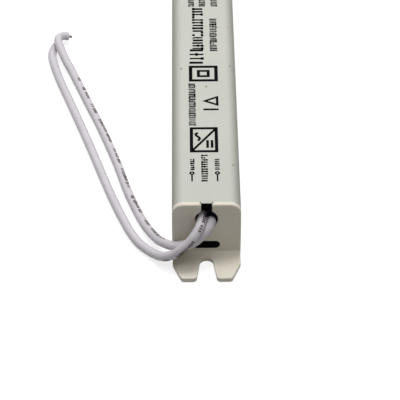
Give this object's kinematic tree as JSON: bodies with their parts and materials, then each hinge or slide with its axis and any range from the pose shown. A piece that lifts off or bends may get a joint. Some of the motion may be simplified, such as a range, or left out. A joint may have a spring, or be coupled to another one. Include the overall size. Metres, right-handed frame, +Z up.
{
  "type": "power supply",
  "caption": "Slim power supply for LED strips: square aluminium tube, moulded cap with open mounting slot at each end, and a pair of white input wires.",
  "frame": {"origin": "middle of the mounting face, under the middle of the case's length and width", "axes": "+Y along the case from the input end to the output end, +Z up from the mounting face, +X across the case"},
  "size_m": [0.0554, 0.1712, 0.0185],
  "materials": {
    "case_metal": "satin anodised, pale grey",
    "cap_plastic": "moulded, warm white, fine spark texture",
    "dark_film": "thin black insulating film",
    "board_laminate": "green solder mask on glass laminate",
    "solder": "bright solder",
    "heat_pad": "soft silicone pad",
    "cream_ceramic": "cream, semi matt",
    "green_coating": "dipped coating, dark green",
    "yellow_plastic": "moulded box, yellow",
    "ferrite": "ground ferrite, dark grey",
    "copper_wire": "enamelled copper wire",
    "black_epoxy": "moulded epoxy, black",
    "capacitor_sleeve": "shrunk sleeve, dark blue",
    "resistor_coating": "lacquered, tan",
    "blue_coating": "dipped coating, blue",
    "yellow_tape": "polyester tape, yellow",
    "wire_insulation": "soft white insulation, slight sheen",
    "tinned_copper": "bare tinned copper strands"
  },
  "bodies": {
    "root": {"case_profile": "case_metal", "input_end_cap": "cap_plastic", "output_end_cap": "cap_plastic", "folded_film": "dark_film", "floor_film": "dark_film", "circuit_board": "board_laminate", "solder_joints": "solder", "heat_pad": "heat_pad", "input_fuse": "cream_ceramic", "inrush_thermistor": "green_coating", "filter_capacitor": "yellow_plastic", "choke_core": "ferrite", "choke_coils": "copper_wire", "bridge_rectifier": "black_epoxy", "bulk_capacitor": "capacitor_sleeve", "switch_transistor": "black_epoxy", "controller_chip": "black_epoxy", "snubber_resistor": "resistor_coating", "snubber_capacitor": "blue_coating", "transformer_bobbin": "black_epoxy", "transformer_winding": "yellow_tape", "transformer_core_a": "ferrite", "transformer_core_b": "ferrite", "transformer_tape": "yellow_tape", "safety_capacitor": "blue_coating", "optocoupler": "cream_ceramic", "output_diode": "black_epoxy", "output_inductor": "ferrite", "output_capacitor_a": "capacitor_sleeve", "output_capacitor_b": "capacitor_sleeve", "chip_resistors": "black_epoxy", "wire_tails": "solder", "outer_input_wire": "wire_insulation", "inner_input_wire": "wire_insulation", "outer_wire_tip": "tinned_copper", "inner_wire_tip": "tinned_copper"}
  },
  "joints": []
}
